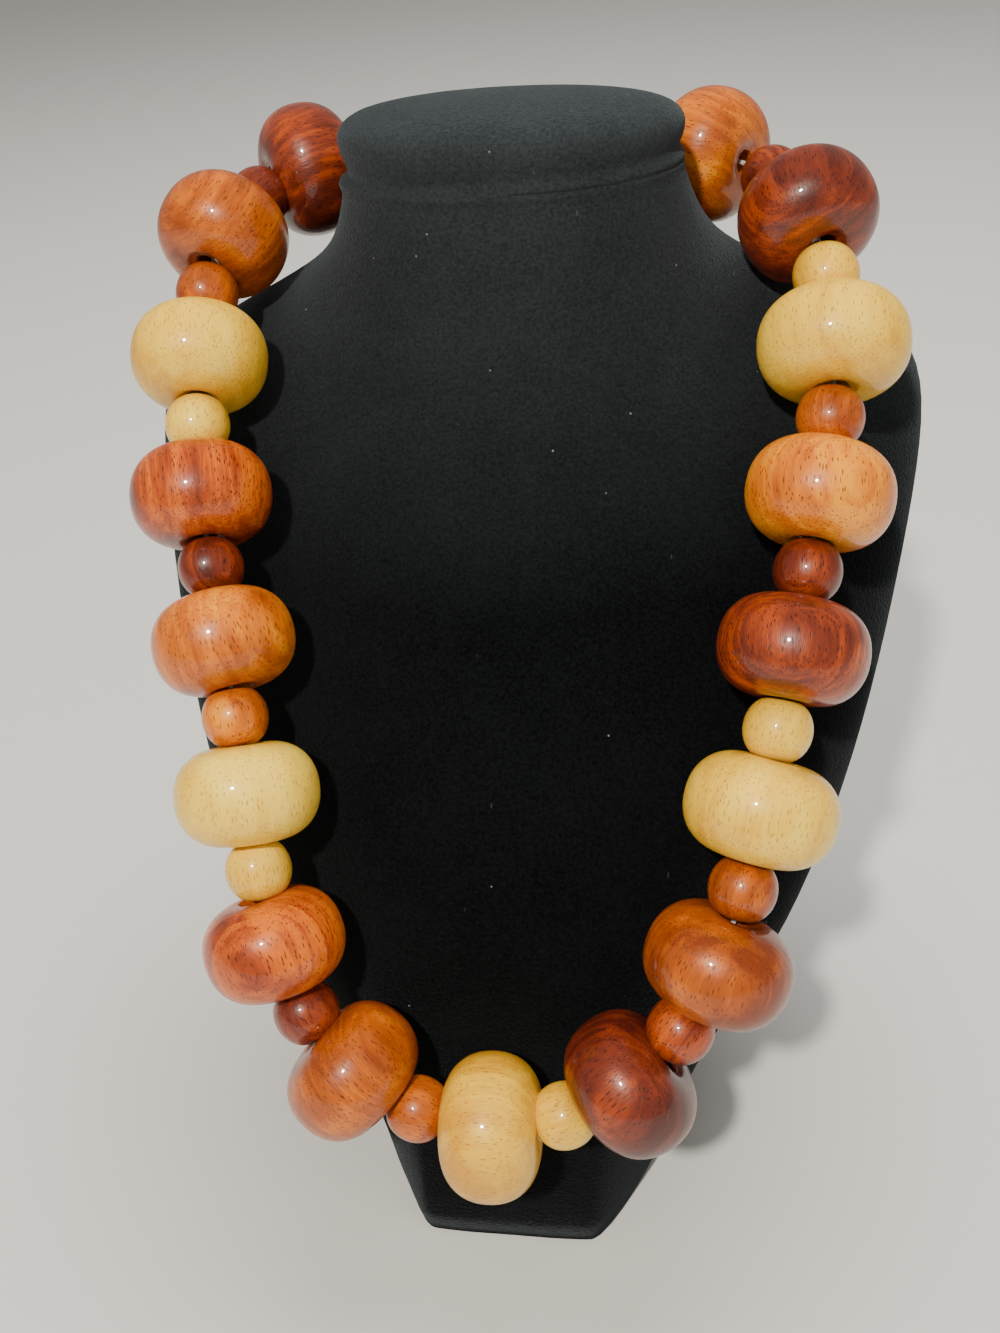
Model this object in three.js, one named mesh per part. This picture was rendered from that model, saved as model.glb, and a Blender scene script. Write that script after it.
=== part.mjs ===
// Wooden bead necklace hung on a free-standing neck bust.
// Millimetres, +Z up, the bust faces -Y and stands on Z = 0.
import * as THREE from 'three';

// ---- sizes of the turned beads ----
const BIG = { radius: 18, half: 11.3, hole: 2.9, sides: 18 };
const SMALL = { radius: 8.1, half: 6.9, hole: 2.2, sides: 12 };
// Outline of each bead from its hole to its widest ring: fractions of radius and half length.
const BIG_OUTLINE = [
  { out: 0.47, along: 1.0 },
  { out: 0.82, along: 0.8 },
  { out: 0.975, along: 0.4 },
  { out: 1.0, along: 0 },
];
const SMALL_OUTLINE = [
  { out: 0.52, along: 0.95 },
  { out: 0.95, along: 0.42 },
];
const BIG_DIMPLE = 1.2; // how far the hole's mouth sits below the bead's rim
const SMALL_DIMPLE = 0;

// ---- the string of beads ----
const PAIRS = 18; // a big bead and a small one, over and over
const PITCH = 38.6; // from one big bead to the next, along the cord
const BACK_PAIR = 9; // the pair at the back of the neck, counted from 0 at the lowest bead
const BARE_CORD = 4.5; // cord left showing beside the last pair, behind the neck
const WOODS = ['cream', 'red', 'orange']; // pairs take the woods in turn, from the lowest bead
const CORD_RADIUS = 0.6;
const CORD_SIDES = 5;
const CORD_STEPS = 126;
const MIDDLE = 95; // depth of the whole thing's middle, taken off every depth below

// The way the cord runs, from the lowest bead up the +X side, round the neck and back down.
const ROUTE = [
  { x: -0.5, depth: -1.5, height: 58 },
  { x: 33.5, depth: 3, height: 71.5 },
  { x: 54.5, depth: 15.5, height: 100.5 },
  { x: 64, depth: 34.5, height: 131.5 },
  { x: 71, depth: 57.5, height: 161.5 },
  { x: 77.5, depth: 84.5, height: 190 },
  { x: 81, depth: 112, height: 217 },
  { x: 75, depth: 144, height: 240.5 },
  { x: 60, depth: 169, height: 247 },
  { x: 44, depth: 181, height: 247.5 },
  { x: 17, depth: 191.5, height: 245.5 },
  { x: -12, depth: 195, height: 244.8 },
  { x: -38, depth: 190.5, height: 246.5 },
  { x: -58, depth: 181, height: 248.5 },
  { x: -72, depth: 165, height: 246 },
  { x: -80, depth: 144, height: 240.5 },
  { x: -81.5, depth: 112.5, height: 218 },
  { x: -77, depth: 83.5, height: 192 },
  { x: -68.5, depth: 57.5, height: 163 },
  { x: -61, depth: 34, height: 131 },
  { x: -54, depth: 15.5, height: 98 },
  { x: -34.5, depth: 3, height: 69.5 },
];

// ---- the bust, as level slices from the foot to the top of the neck ----
// front, side and back are the depths of the front face, of the widest place and of the back;
// flat is half the flat part of the front, wide half the slice's width. bulge rounds the front
// corners and square fills out the back ones.
const SLICES = [
  { height: 0, front: 4, flat: 22, wide: 42, side: 46, back: 150, bulge: 0.25, square: 0.8 },
  { height: 30, front: 10, flat: 22, wide: 50, side: 48, back: 152, bulge: 0.3, square: 0.8 },
  { height: 54, front: 16.5, flat: 20, wide: 62, side: 52, back: 155, bulge: 0.4, square: 0.8 },
  { height: 78, front: 19.5, flat: 12, wide: 76, side: 60, back: 159, bulge: 0.43, square: 0.8 },
  { height: 103, front: 26.5, flat: 6, wide: 87.5, side: 76, back: 164, bulge: 0.4, square: 0.8 },
  { height: 128, front: 38, flat: 5, wide: 96, side: 92, back: 170, bulge: 0.38, square: 0.8 },
  { height: 158, front: 60.5, flat: 5, wide: 104.5, side: 118, back: 178, bulge: 0.37, square: 0.8 },
  { height: 182, front: 80.5, flat: 5, wide: 109.5, side: 138, back: 187, bulge: 0.36, square: 0.75 },
  { height: 197, front: 93, flat: 5, wide: 109.5, side: 151, back: 190, bulge: 0.34, square: 0.7 },
  { height: 208, front: 101, flat: 5, wide: 100, side: 159, back: 191, bulge: 0.34, square: 0.65 },
  { height: 219, front: 107, flat: 5, wide: 78, side: 158, back: 188, bulge: 0.4, square: 0.6 },
  { height: 230, front: 110.5, flat: 5, wide: 57.5, side: 152, back: 182, bulge: 0.5, square: 0.55 },
  { height: 239, front: 112, flat: 5, wide: 49.5, side: 147.5, back: 176, bulge: 0.55, square: 0.55 },
  { height: 248, front: 113.5, flat: 5, wide: 46, side: 144.5, back: 170, bulge: 0.55, square: 0.55 },
  { height: 256, front: 115, flat: 5, wide: 43.5, side: 142, back: 166, bulge: 0.55, square: 0.55 },
  { height: 261, front: 115, flat: 5, wide: 43.5, side: 142, back: 165.5, bulge: 0.55, square: 0.55 },
  { height: 265.5, front: 114.5, flat: 5, wide: 45, side: 142, back: 166, bulge: 0.55, square: 0.55 },
  { height: 269.5, front: 117, flat: 5, wide: 42.5, side: 142, back: 163.5, bulge: 0.55, square: 0.55 },
  { height: 272, front: 123, flat: 5, wide: 34, side: 142, back: 158, bulge: 0.55, square: 0.55 },
  { height: 273.3, front: 132, flat: 5, wide: 20, side: 142, back: 150, bulge: 0.55, square: 0.55 },
];
const CROWN_RISE = 0.5;
const QUARTER_STEPS = 9;

function material(name, color, roughness) {
  return new THREE.MeshStandardMaterial({ name, color, roughness, metalness: 0 });
}

const MATERIALS = {
  cream: material('pale_wood', 0xd9b98c, 0.35),
  red: material('red_brown_wood', 0x6b3326, 0.35),
  orange: material('orange_wood', 0xb5753c, 0.35),
  velvet: material('black_velvet', 0x15161a, 0.95),
  elastic: material('clear_elastic', 0xd8d4cc, 0.4),
};

function mesh(name, geometry, mat) {
  const m = new THREE.Mesh(geometry, mat);
  m.name = name;
  return m;
}

// A bead turned about its own Y axis: out under its lower end, up its side, over and down the hole.
function beadGeometry(size, outline, dimple) {
  const mouth = size.half * outline[0].along - dimple;
  const ring = (row, end) =>
    new THREE.Vector2(size.radius * row.out, end * size.half * row.along);
  const profile = [new THREE.Vector2(size.hole, -mouth)];
  for (const row of outline) profile.push(ring(row, -1));
  for (const row of [...outline].reverse()) if (row.along > 0) profile.push(ring(row, 1));
  profile.push(new THREE.Vector2(size.hole, mouth));
  profile.push(profile[0].clone());
  return new THREE.LatheGeometry(profile, size.sides);
}

const cordRoute = new THREE.CatmullRomCurve3(
  ROUTE.map((p) => new THREE.Vector3(p.x, p.depth - MIDDLE, p.height)),
  true,
  'centripetal',
);
cordRoute.arcLengthDivisions = 1200;

// Sets a bead's own axis along the cord, a distance in mm from the lowest point.
function threadBead(bead, distance) {
  const round = (distance / cordRoute.getLength() + 1) % 1;
  const place = cordRoute.getPointAt(round);
  const run = cordRoute.getTangentAt(round);
  bead.quaternion.setFromUnitVectors(new THREE.Vector3(0, 1, 0), run);
  bead.position.copy(place);
}

// One quarter of a slice's outline as a cubic curve.
function quarter(a, b, c, d) {
  return new THREE.CubicBezierCurve(a, b, c, d).getPoints(QUARTER_STEPS);
}

// Half a slice's outline, +X side, from the middle of the front to the middle of the back.
function halfSlice(s) {
  const v = (x, y) => new THREE.Vector2(x, y);
  const front = quarter(
    v(s.flat, s.front),
    v(s.flat + (s.wide - s.flat) * s.bulge, s.front),
    v(s.wide, s.side - (s.side - s.front) * s.bulge),
    v(s.wide, s.side),
  );
  const back = quarter(
    v(s.wide, s.side),
    v(s.wide, s.side + (s.back - s.side) * s.square),
    v(s.wide * s.square, s.back),
    v(0, s.back),
  );
  return [v(0, s.front), ...front, ...back.slice(1)];
}

// The bust's skin: the slices' outlines joined one above another, closed flat at foot and crown.
function bustGeometry() {
  const positions = [];
  const index = [];
  const rings = SLICES.map((s) => {
    const half = halfSlice(s);
    const other = half.slice(1, -1).reverse().map((p) => new THREE.Vector2(-p.x, p.y));
    return [...half, ...other];
  });
  const count = rings[0].length;
  const put = (x, depth, height) => positions.push(x, depth - MIDDLE, height);
  rings.forEach((ring, i) => ring.forEach((p) => put(p.x, p.y, SLICES[i].height)));
  for (let i = 0; i + 1 < rings.length; i += 1) {
    for (let j = 0; j < count; j += 1) {
      const next = (j + 1) % count;
      const a = i * count + j;
      const b = i * count + next;
      index.push(a, b, b + count, a, b + count, a + count);
    }
  }
  const foot = SLICES[0];
  const crown = SLICES[SLICES.length - 1];
  const footCentre = rings.length * count;
  put(0, (foot.front + foot.back) / 2, foot.height);
  put(0, (crown.front + crown.back) / 2, crown.height + CROWN_RISE);
  const top = (rings.length - 1) * count;
  for (let j = 0; j < count; j += 1) {
    const next = (j + 1) % count;
    index.push(footCentre, next, j);
    index.push(footCentre + 1, top + j, top + next);
  }
  const geometry = new THREE.BufferGeometry();
  geometry.setAttribute('position', new THREE.Float32BufferAttribute(positions, 3));
  geometry.setIndex(index);
  geometry.computeVertexNormals();
  return geometry;
}

const root = new THREE.Group();
root.name = 'beaded_necklace_on_bust';
root.add(mesh('neck_bust', bustGeometry(), MATERIALS.velvet));
root.add(
  mesh(
    'elastic_cord',
    new THREE.TubeGeometry(cordRoute, CORD_STEPS, CORD_RADIUS, CORD_SIDES, true),
    MATERIALS.elastic,
  ),
);

// Pairs follow each other up the +X side; those past the back are counted down the other side.
for (let i = 0; i < PAIRS; i += 1) {
  const wood = WOODS[i % WOODS.length];
  const tag = String(i + 1).padStart(2, '0');
  let place = i * PITCH;
  if (i === BACK_PAIR - 1) place += BARE_CORD;
  if (i === BACK_PAIR) place = cordRoute.getLength() / 2;
  if (i > BACK_PAIR) place = (i - PAIRS) * PITCH;
  const big = mesh(`${wood}_bead_${tag}`, beadGeometry(BIG, BIG_OUTLINE, BIG_DIMPLE), MATERIALS[wood]);
  const small = mesh(
    `${wood}_spacer_${tag}`,
    beadGeometry(SMALL, SMALL_OUTLINE, SMALL_DIMPLE),
    MATERIALS[wood],
  );
  threadBead(big, place);
  threadBead(small, place + PITCH / 2);
  root.add(big, small);
}

export default root;
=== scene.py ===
"""Beaded necklace of turned wooden beads on a black velvet neck bust."""
import math
import random

import bmesh
import bpy
from mathutils import Matrix, Vector


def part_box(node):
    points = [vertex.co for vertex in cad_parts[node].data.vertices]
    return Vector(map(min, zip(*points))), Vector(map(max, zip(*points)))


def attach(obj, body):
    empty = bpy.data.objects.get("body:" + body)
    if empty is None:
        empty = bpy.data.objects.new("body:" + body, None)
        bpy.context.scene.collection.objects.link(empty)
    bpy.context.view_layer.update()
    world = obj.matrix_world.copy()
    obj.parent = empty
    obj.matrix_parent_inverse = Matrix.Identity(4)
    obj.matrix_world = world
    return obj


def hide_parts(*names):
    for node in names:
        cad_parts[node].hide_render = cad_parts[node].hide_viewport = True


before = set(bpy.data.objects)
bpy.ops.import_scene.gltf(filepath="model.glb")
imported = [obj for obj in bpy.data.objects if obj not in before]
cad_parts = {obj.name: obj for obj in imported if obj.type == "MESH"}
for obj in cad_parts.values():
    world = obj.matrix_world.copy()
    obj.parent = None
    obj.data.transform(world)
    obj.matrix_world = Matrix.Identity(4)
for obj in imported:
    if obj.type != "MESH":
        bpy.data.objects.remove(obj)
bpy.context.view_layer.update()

MM = 0.001
PAIRS = 18

# Turned bead sizes in millimetres. rim is where the flat end turns down into the dimple,
# fullness is how square the shoulder is (2 is an ellipse). steps and shoulder are the number
# of faces round the bead and over its shoulder.
BIG = {"radius": 18.1, "half": 12.3, "rim": 6.0, "hole": 2.9, "dimple": 1.0, "fullness": 2.2,
       "steps": 64, "shoulder": 14}
SMALL = {"radius": 8.3, "half": 7.3, "rim": 2.6, "hole": 1.9, "dimple": 0.2, "fullness": 2.0,
         "steps": 40, "shoulder": 9}
MOUTH_ROUNDING = 0.4  # how far the edge of the hole is rounded off
DIMPLE_STEPS = 5

CORD_RADIUS = 0.65

# The fold of the velvet round the top of the neck: the height of each ring and how far it
# stands out, in millimetres, and how the fold tilts from side to side.
NECK_FOLD = [
    {"height": 253.0, "out": 0},
    {"height": 254.6, "out": 1.0},
    {"height": 256.0, "out": 1.2},
    {"height": 257.6, "out": -0.9},
    {"height": 259.0, "out": -0.5},
]
FOLD_TILT = Vector((-0.03, 0, 1)).normalized()
NECK_MIDDLE = 46
FOOT_HEIGHT = 0.5
FOOT_CREASE = 0.85

# How each wood pair was cut, in order up the right side from the lowest bead and back down the
# left. tone lightens (+) or darkens (-) the wood, size is a share of the full diameter and lean
# is how far the big bead tips, in degrees.
PAIR_LOOKS = [
    {"tone": -0.22, "small_tone": -0.1, "size": 1.02, "lean": 0},
    {"tone": -0.24, "small_tone": -0.1, "size": 1, "lean": 4},
    {"tone": -0.30, "small_tone": -0.16, "size": 1, "lean": 0},
    {"tone": 0, "small_tone": 0, "size": 1.02, "lean": 3},
    {"tone": -0.05, "small_tone": -0.14, "size": 1, "lean": 0},
    {"tone": 0.22, "small_tone": 0.02, "size": 0.99, "lean": 2},
    {"tone": 0.02, "small_tone": 0, "size": 1.03, "lean": 0},
    {"tone": -0.12, "small_tone": -0.12, "size": 0.99, "lean": 0},
    {"tone": 0, "small_tone": 0, "size": 0.98, "lean": 0},
    {"tone": 0, "small_tone": 0, "size": 0.98, "lean": 0},
    {"tone": -0.12, "small_tone": -0.12, "size": 1, "lean": 0},
    {"tone": -0.18, "small_tone": -0.1, "size": 0.98, "lean": 0},
    {"tone": -0.05, "small_tone": 0.02, "size": 0.98, "lean": -3},
    {"tone": 0.1, "small_tone": -0.1, "size": 0.99, "lean": 0},
    {"tone": 0.16, "small_tone": 0.12, "size": 0.99, "lean": -6},
    {"tone": 0.2, "small_tone": 0.06, "size": 1, "lean": 2},
    {"tone": 0.3, "small_tone": -0.02, "size": 0.99, "lean": 0},
    {"tone": -0.20, "small_tone": -0.04, "size": 1, "lean": 0},
]

# The lamps, in metres and watts. Only the small key lamp shows as a highlight on the lacquer.
LAMPS = [
    {"name": "key", "place": (-0.22, -1.20, 1.50), "size": 0.11, "power": 42,
     "color": (1.0, 0.93, 0.82), "highlight": True},
    {"name": "overhead", "place": (0.1, 0.55, 1.6), "size": 1.2, "power": 26,
     "color": (1.0, 0.97, 0.92), "highlight": False},
    {"name": "side_fill", "place": (1.4, -0.8, 0.9), "size": 1.2, "power": 6,
     "color": (1.0, 0.95, 0.88), "highlight": False},
]
LIT_POINT = Vector((0, 0, 0.15))


def srgb(red, green, blue):
    """A colour given as 0 to 255 values, as the linear colour a shader takes."""
    def linear(v):
        v /= 255
        return v / 12.92 if v <= 0.04045 else ((v + 0.055) / 1.055) ** 2.4
    return (linear(red), linear(green), linear(blue), 1.0)


# ---------------------------------------------------------------- shader nodes

def new_material(name):
    material = bpy.data.materials.new(name)
    material.use_nodes = True
    tree = material.node_tree
    tree.nodes.clear()
    output = tree.nodes.new("ShaderNodeOutputMaterial")
    shader = tree.nodes.new("ShaderNodeBsdfPrincipled")
    tree.links.new(shader.outputs["BSDF"], output.inputs["Surface"])
    return material, tree, shader


def fill(tree, socket, value):
    """Links a socket to another, or gives it a constant."""
    if isinstance(value, bpy.types.NodeSocket):
        tree.links.new(value, socket)
    else:
        socket.default_value = value


def node(tree, kind, inputs=None, **settings):
    made = tree.nodes.new(kind)
    for key, value in settings.items():
        setattr(made, key, value)
    for key, value in (inputs or {}).items():
        fill(tree, made.inputs[key], value)
    return made


def math_node(tree, operation, a, b, clamp=False):
    return node(tree, "ShaderNodeMath", {0: a, 1: b}, operation=operation,
                use_clamp=clamp).outputs[0]


def stretched(tree, vector, scale):
    return node(tree, "ShaderNodeMapping", {"Vector": vector, "Scale": scale}).outputs["Vector"]


def noise(tree, vector, **inputs):
    """Noise of the given Scale, Detail, Roughness and Distortion."""
    return node(tree, "ShaderNodeTexNoise", {"Vector": vector, **inputs}).outputs["Fac"]


def cells(tree, vector, scale=1.0):
    """Scattered points: the distance to the nearest one, and that one's own number."""
    made = node(tree, "ShaderNodeTexVoronoi",
                {"Vector": vector, "Scale": scale, "Randomness": 1.0}, feature="F1")
    return made.outputs["Distance"], made.outputs["Color"]


def ramp(tree, factor, stops):
    made = node(tree, "ShaderNodeValToRGB", {"Fac": factor})
    elements = made.color_ramp.elements
    while len(elements) < len(stops):
        elements.new(0.5)
    for element, (position, color) in zip(elements, stops):
        element.position = position
        element.color = color
    return made.outputs["Color"]


def spread(tree, value, low, high):
    """value brought from low..high to 0..1."""
    return node(tree, "ShaderNodeMapRange",
                {"Value": value, "From Min": low, "From Max": high}).outputs["Result"]


def mixed(tree, factor, a, b):
    """Colour a turning into colour b as factor goes from 0 to 1."""
    made = node(tree, "ShaderNodeMix", data_type="RGBA", blend_type="MIX")
    for index, value in ((0, factor), (6, a), (7, b)):
        fill(tree, made.inputs[index], value)
    return made.outputs[2]


def dots(tree, distance, number, size, share):
    """Marks round some of the scattered points: size is outer and inner, share is which are kept."""
    return math_node(tree, "MULTIPLY", spread(tree, distance, *size),
                     spread(tree, number, *share), clamp=True)


# ---------------------------------------------------------------- materials

def wood(name, stops, pore, pore_share, pore_depth, band_share, gloss):
    """Lacquered wood. The grain attribute is in millimetres, with the fibres along its Z.

    stops colour the figure from dark to light, pore is the colour of the short pores.
    """
    material, tree, shader = new_material(name)
    grain = node(tree, "ShaderNodeAttribute", attribute_name="grain").outputs["Vector"]
    tone = node(tree, "ShaderNodeAttribute", attribute_name="tone").outputs["Fac"]

    cloud = noise(tree, stretched(tree, grain, (0.055, 0.055, 0.04)), Scale=1.0, Detail=3.0,
                  Roughness=0.5, Distortion=0.6)
    cloud = spread(tree, cloud, 0.22, 0.78)
    bands = noise(tree, stretched(tree, grain, (0.42, 0.12, 0.03)), Scale=1.0, Detail=3.0,
                  Roughness=0.6, Distortion=0.8)
    bands = spread(tree, bands, 0.30, 0.70)
    fibre = noise(tree, stretched(tree, grain, (2.2, 2.2, 0.14)), Scale=1.0, Detail=3.0,
                  Roughness=0.6)
    figure = math_node(tree, "ADD", math_node(tree, "MULTIPLY", cloud, 1.0 - band_share),
                       math_node(tree, "MULTIPLY", bands, band_share))
    figure = math_node(tree, "ADD", figure,
                       math_node(tree, "MULTIPLY", math_node(tree, "SUBTRACT", fibre, 0.5), 0.30))
    figure = math_node(tree, "ADD", figure, tone, clamp=True)
    color = ramp(tree, figure, stops)

    # Short dark pores along the fibres, crowded in some places and sparse in others.
    distance, number = cells(tree, stretched(tree, grain, (1.5, 1.5, 0.30)))
    crowd = noise(tree, stretched(tree, grain, (0.16, 0.16, 0.07)), Scale=1.0, Detail=2.0)
    crowd = math_node(tree, "ADD", crowd, math_node(tree, "MULTIPLY", number, 0.35))
    pores = dots(tree, distance, crowd, size=(0.30, 0.17),
                 share=(0.95 - pore_share, 0.98 - pore_share))
    color = mixed(tree, math_node(tree, "MULTIPLY", pores, pore_depth), color, pore)
    tree.links.new(color, shader.inputs["Base Color"])

    # The lacquer follows the fibres a little and lies slightly uneven.
    uneven = noise(tree, stretched(tree, grain, (0.22, 0.22, 0.16)), Scale=1.0, Detail=3.0,
                   Roughness=0.5)
    relief = math_node(tree, "ADD", math_node(tree, "SUBTRACT", fibre, pores),
                       math_node(tree, "MULTIPLY", uneven, 4.0))
    bump = node(tree, "ShaderNodeBump",
                {"Height": relief, "Strength": 0.22, "Distance": 0.0002})
    tree.links.new(bump.outputs["Normal"], shader.inputs["Normal"])
    shader.inputs["Roughness"].default_value = gloss
    shader.inputs["Specular IOR Level"].default_value = 0.3
    shader.inputs["Coat Weight"].default_value = 0.55
    shader.inputs["Coat Roughness"].default_value = 0.06
    shader.inputs["Coat IOR"].default_value = 1.5
    return material


def velvet():
    """Black pile with a little lint caught in it, painted greyer towards the top of the neck as
    painted light and darker towards the foot as painted shade.
    """
    material, tree, shader = new_material("black_velvet_pile")
    place = node(tree, "ShaderNodeTexCoord").outputs["Object"]
    nap = noise(tree, place, Scale=26.0, Detail=4.0, Roughness=0.6)
    tufts = noise(tree, place, Scale=1200.0, Detail=3.0, Roughness=0.7)
    pile = math_node(tree, "ADD", math_node(tree, "MULTIPLY", nap, 0.3),
                     math_node(tree, "MULTIPLY", tufts, 0.7))
    height = node(tree, "ShaderNodeSeparateXYZ", {"Vector": place}).outputs["Z"]
    # Painted light and shade: the upper colour is painted light on the top of the neck, the lower
    # colour is painted shade towards the foot, mixed by height.
    painted_light_upper = ramp(tree, pile, [(0.36, (0.019, 0.023, 0.0255, 1)),
                              (0.64, (0.041, 0.049, 0.054, 1))])
    lower = ramp(tree, pile, [(0.38, (0.0008, 0.001, 0.0011, 1)),
                              (0.62, (0.0044, 0.0054, 0.0058, 1))])
    color = mixed(tree, spread(tree, height, 0.165, 0.30), lower, painted_light_upper)

    specks = dots(tree, *cells(tree, place, 190.0), size=(0.06, 0.03), share=(0.70, 0.74))
    hairs = dots(tree, *cells(tree, stretched(tree, place, (420.0, 90.0, 110.0))),
                 size=(0.10, 0.05), share=(0.80, 0.84))
    color = mixed(tree, math_node(tree, "MULTIPLY", specks, 0.35), color, srgb(190, 196, 200))
    color = mixed(tree, math_node(tree, "MULTIPLY", hairs, 0.10), color, srgb(150, 158, 164))
    tree.links.new(color, shader.inputs["Base Color"])
    bump = node(tree, "ShaderNodeBump", {"Height": tufts, "Strength": 0.8, "Distance": 0.0006})
    tree.links.new(bump.outputs["Normal"], shader.inputs["Normal"])
    shader.inputs["Roughness"].default_value = 0.95
    shader.inputs["Specular IOR Level"].default_value = 0.03
    shader.inputs["Sheen Weight"].default_value = 0.10
    shader.inputs["Sheen Roughness"].default_value = 0.42
    shader.inputs["Sheen Tint"].default_value = (0.74, 0.84, 0.92, 1)
    return material


def elastic():
    material, tree, shader = new_material("milky_elastic")
    place = node(tree, "ShaderNodeTexCoord").outputs["Object"]
    cloud = noise(tree, place, Scale=900.0, Detail=2.0)
    color = ramp(tree, cloud, [(0.3, srgb(196, 188, 176)), (0.7, srgb(232, 228, 220))])
    tree.links.new(color, shader.inputs["Base Color"])
    shader.inputs["Roughness"].default_value = 0.32
    shader.inputs["Transmission Weight"].default_value = 0.35
    return material


CREAM = wood(
    "pale_lacquered_wood",
    [(0.10, srgb(204, 144, 22)), (0.45, srgb(234, 184, 44)), (0.9, srgb(249, 212, 76))],
    pore=srgb(140, 82, 12), pore_share=0.56, pore_depth=0.6, band_share=0.25, gloss=0.42)
RED = wood(
    "red_brown_lacquered_wood",
    [(0.10, srgb(72, 22, 12)), (0.38, srgb(112, 40, 16)), (0.62, srgb(162, 64, 10)),
     (0.92, srgb(214, 104, 6))],
    pore=srgb(40, 12, 6), pore_share=0.72, pore_depth=0.85, band_share=0.40, gloss=0.38)
ORANGE = wood(
    "orange_lacquered_wood",
    [(0.08, srgb(118, 46, 2)), (0.42, srgb(168, 78, 2)), (0.68, srgb(206, 108, 2)),
     (0.95, srgb(236, 148, 4))],
    pore=srgb(84, 32, 2), pore_share=0.76, pore_depth=0.85, band_share=0.35, gloss=0.38)
WOODS = [
    {"name": "cream", "material": CREAM, "slot": "pale_wood"},
    {"name": "red", "material": RED, "slot": "red_brown_wood"},
    {"name": "orange", "material": ORANGE, "slot": "orange_wood"},
]


# ---------------------------------------------------------------- making pieces

def mesh_from(bm, name):
    mesh = bpy.data.meshes.new(name)
    bm.to_mesh(mesh)
    bm.free()
    return mesh


def add_object(name, data, material):
    made = bpy.data.objects.new(name, data)
    bpy.context.scene.collection.objects.link(made)
    data.materials.append(material)
    return made


def bead_outline(size):
    """Half a bead's cut face as (out, along) points, up from the middle of the hole's wall."""
    half, rim, hole = size["half"], size["rim"], size["hole"]
    mouth = half - size["dimple"]
    points = [(hole, mouth * 0.45), (hole, mouth * 0.9), (hole + 0.12, mouth * 0.96)]
    start = hole + MOUTH_ROUNDING
    for i in range(DIMPLE_STEPS + 1):
        t = i / DIMPLE_STEPS
        ease = t * t * (3 - 2 * t)
        points.append((start + (rim - start) * t, mouth + (half - mouth) * ease))
    power = 2 / size["fullness"]
    for i in range(1, size["shoulder"]):
        angle = math.pi / 2 * (1 - i / size["shoulder"])
        out = rim + (size["radius"] - rim) * math.cos(angle) ** power
        points.append((out, half * math.sin(angle) ** power))
    points.append((size["radius"], 0.0))
    return points


def bead_mesh(name, size, scale, tone, grain_shift, place):
    """A bead spun from its outline, with fibres along its hole, set at place."""
    outline = bead_outline(size)
    lower = [(out, -along) for out, along in outline[:-1]]
    loop = outline + lower[::-1]
    bm = bmesh.new()
    verts = [bm.verts.new((out * scale, 0, along)) for out, along in loop]
    edges = [bm.edges.new((verts[i - 1], verts[i])) for i in range(len(verts))]
    bmesh.ops.spin(bm, geom=verts + edges, cent=(0, 0, 0), axis=(0, 0, 1), angle=2 * math.pi,
                   steps=size["steps"], use_merge=True)
    bmesh.ops.remove_doubles(bm, verts=bm.verts[:], dist=0.001)
    bmesh.ops.recalc_face_normals(bm, faces=bm.faces[:])
    grain = bm.verts.layers.float_vector.new("grain")
    tones = bm.verts.layers.float.new("tone")
    for v in bm.verts:
        v[grain] = grain_shift @ v.co
        v[tones] = tone
    for f in bm.faces:
        f.smooth = True
    bmesh.ops.transform(bm, matrix=place, verts=bm.verts[:])
    return mesh_from(bm, name)


def middle_of(name):
    low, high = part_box(name)
    return (Vector(low) + Vector(high)) / 2


# ---------------------------------------------------------------- the beads

order = []
for i in range(PAIRS):
    wood_name = WOODS[i % len(WOODS)]["name"]
    order += [f"{wood_name}_bead_{i + 1:02d}", f"{wood_name}_spacer_{i + 1:02d}"]
centres = [middle_of(name) for name in order]

draws = random.Random(7)
for i, name in enumerate(order):
    pair, second = divmod(i, 2)
    look = PAIR_LOOKS[pair]
    cut_from = WOODS[pair % len(WOODS)]
    if second:
        size, scale, tone, lean = SMALL, 1.0, look["small_tone"], 0
    else:
        size, scale, tone, lean = BIG, look["size"], look["tone"], look["lean"]

    along = (centres[(i + 1) % len(order)] - centres[i - 1]).normalized()
    turn = along.to_track_quat("Z", "Y").to_matrix().to_4x4()
    tip = Matrix.Rotation(math.radians(lean), 4, "Y")
    place = Matrix.Translation(centres[i]) @ tip @ turn @ Matrix.Scale(MM, 4)

    # Each bead comes from another spot in the plank, nearly in line with its fibres.
    shift = Matrix.Translation([draws.uniform(-400, 400) for _ in range(3)])
    shift = shift @ Matrix.Rotation(draws.uniform(0.04, 0.2), 4, "X")
    shift = shift @ Matrix.Rotation(draws.uniform(0, 2 * math.pi), 4, "Z")

    piece_name = "turned_" + name
    bead = add_object(piece_name, bead_mesh(piece_name, size, scale, tone, shift, place),
                      cut_from["material"])
    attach(bead, "root")
    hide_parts(name)

# ---------------------------------------------------------------- the cord

line = bpy.data.curves.new("elastic_loop", "CURVE")
line.dimensions = "3D"
line.bevel_depth = CORD_RADIUS * MM
line.bevel_resolution = 3
line.resolution_u = 6
spline = line.splines.new("BEZIER")
spline.bezier_points.add(len(centres) - 1)
for point, centre in zip(spline.bezier_points, centres):
    point.co = centre
    point.handle_left_type = point.handle_right_type = "AUTO"
spline.use_cyclic_u = True
cord = add_object("elastic_loop", line, elastic())
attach(cord, "root")
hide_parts("elastic_cord")

# ---------------------------------------------------------------- the bust

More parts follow.
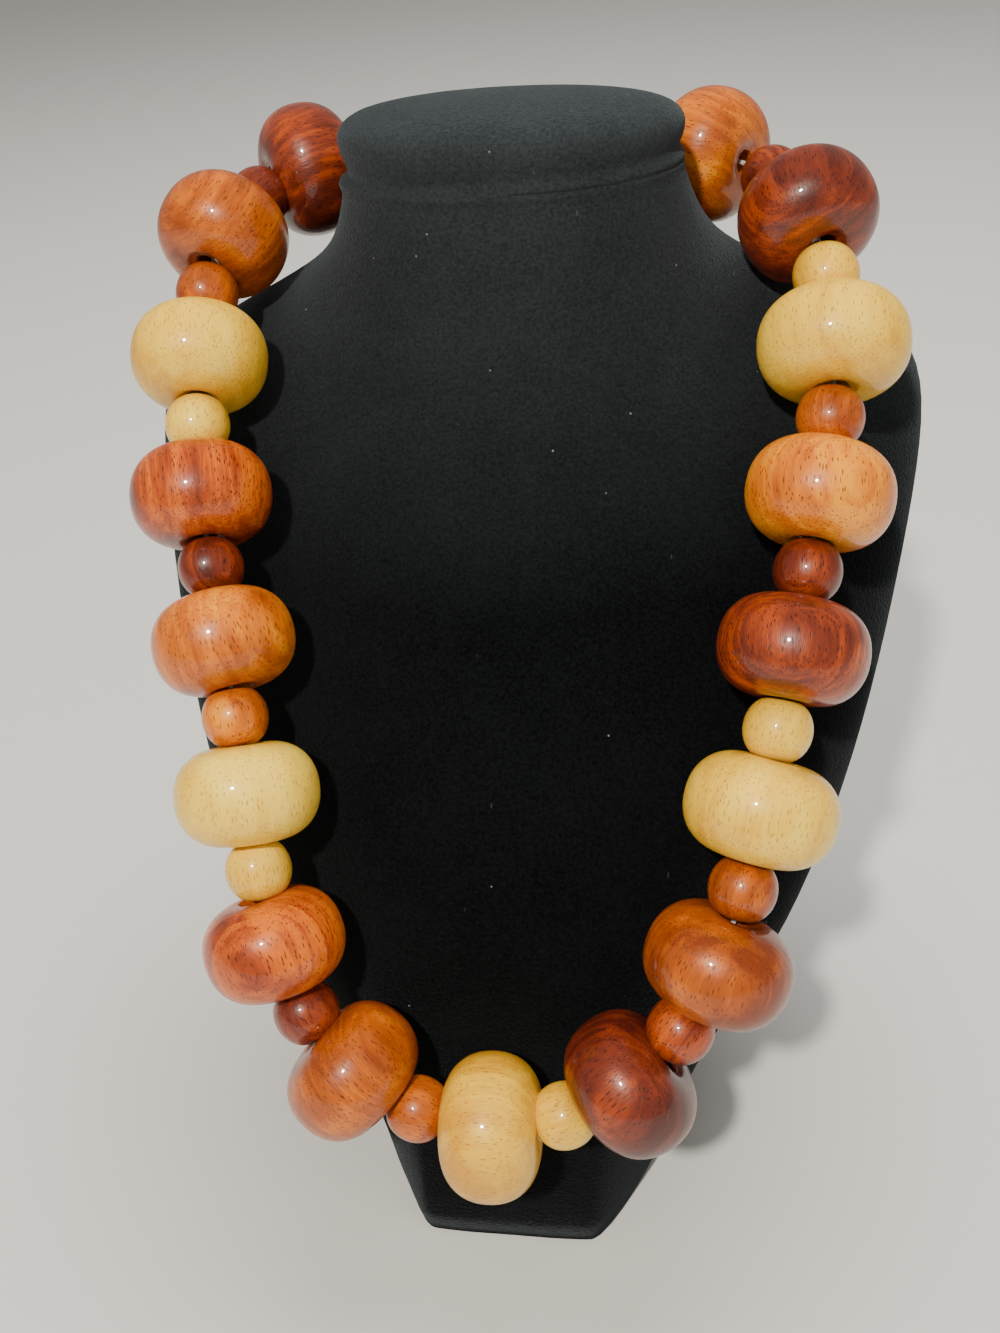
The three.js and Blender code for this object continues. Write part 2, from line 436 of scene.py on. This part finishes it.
bm = bmesh.new()
bm.from_mesh(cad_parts["neck_bust"].data)
bmesh.ops.remove_doubles(bm, verts=bm.verts[:], dist=0.01 * MM)
bmesh.ops.join_triangles(bm, faces=bm.faces[:], angle_face_threshold=math.radians(40),
                         angle_shape_threshold=math.radians(60))
bmesh.ops.recalc_face_normals(bm, faces=bm.faces[:])
for ring in NECK_FOLD:
    cut = bmesh.ops.bisect_plane(bm, geom=bm.verts[:] + bm.edges[:] + bm.faces[:],
                                 dist=0.001 * MM, plane_co=(0, 0, ring["height"] * MM),
                                 plane_no=FOLD_TILT)["geom_cut"]
    for v in cut:
        if isinstance(v, bmesh.types.BMVert):
            out = Vector((v.co.x, v.co.y - NECK_MIDDLE * MM, 0)).normalized()
            v.co += out * ring["out"] * MM
crease = bm.edges.layers.float.new("crease_edge")
for e in bm.edges:
    on_floor = all(v.co.z < FOOT_HEIGHT * MM for v in e.verts)
    if on_floor and any(abs(f.normal.z) < 0.9 for f in e.link_faces):
        e[crease] = FOOT_CREASE
for f in bm.faces:
    f.smooth = True
bust = add_object("velvet_bust", mesh_from(bm, "velvet_bust"), velvet())
soften = bust.modifiers.new("soften", "SUBSURF")
soften.levels = 2
soften.render_levels = 2
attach(bust, "root")
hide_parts("neck_bust")

# ---------------------------------------------------------------- floor, light and camera

floor_material, _, floor_shader = new_material("plain_floor")
floor_shader.inputs["Base Color"].default_value = (0.62, 0.62, 0.60, 1)
floor_shader.inputs["Roughness"].default_value = 0.8
bm = bmesh.new()
bmesh.ops.create_grid(bm, x_segments=1, y_segments=1, size=4.0)
floor = add_object("floor", mesh_from(bm, "floor"), floor_material)

world = bpy.data.worlds.new("studio")
bpy.context.scene.world = world
world.use_nodes = True
room = world.node_tree.nodes["Background"]
room.inputs["Color"].default_value = (1.0, 0.97, 0.92, 1)
room.inputs["Strength"].default_value = 0.33

for row in LAMPS:
    lamp = bpy.data.lights.new(row["name"], "AREA")
    lamp.shape = "DISK"
    lamp.size = row["size"]
    lamp.energy = row["power"]
    lamp.color = row["color"]
    placed = bpy.data.objects.new(row["name"], lamp)
    placed.visible_glossy = row["highlight"]
    placed.location = row["place"]
    direction = LIT_POINT - placed.location
    placed.rotation_euler = direction.to_track_quat("-Z", "Y").to_euler()
    bpy.context.scene.collection.objects.link(placed)

camera_data = bpy.data.cameras.new("camera")
camera_data.sensor_width = 36
camera_data.lens = 36.46
camera_data.clip_start = 0.01
camera = bpy.data.objects.new("camera", camera_data)
camera.location = (0.0498, -0.3070, 0.3457)
camera.rotation_euler = (math.radians(55.53), math.radians(4.08), math.radians(7.44))
bpy.context.scene.collection.objects.link(camera)
bpy.context.scene.camera = camera
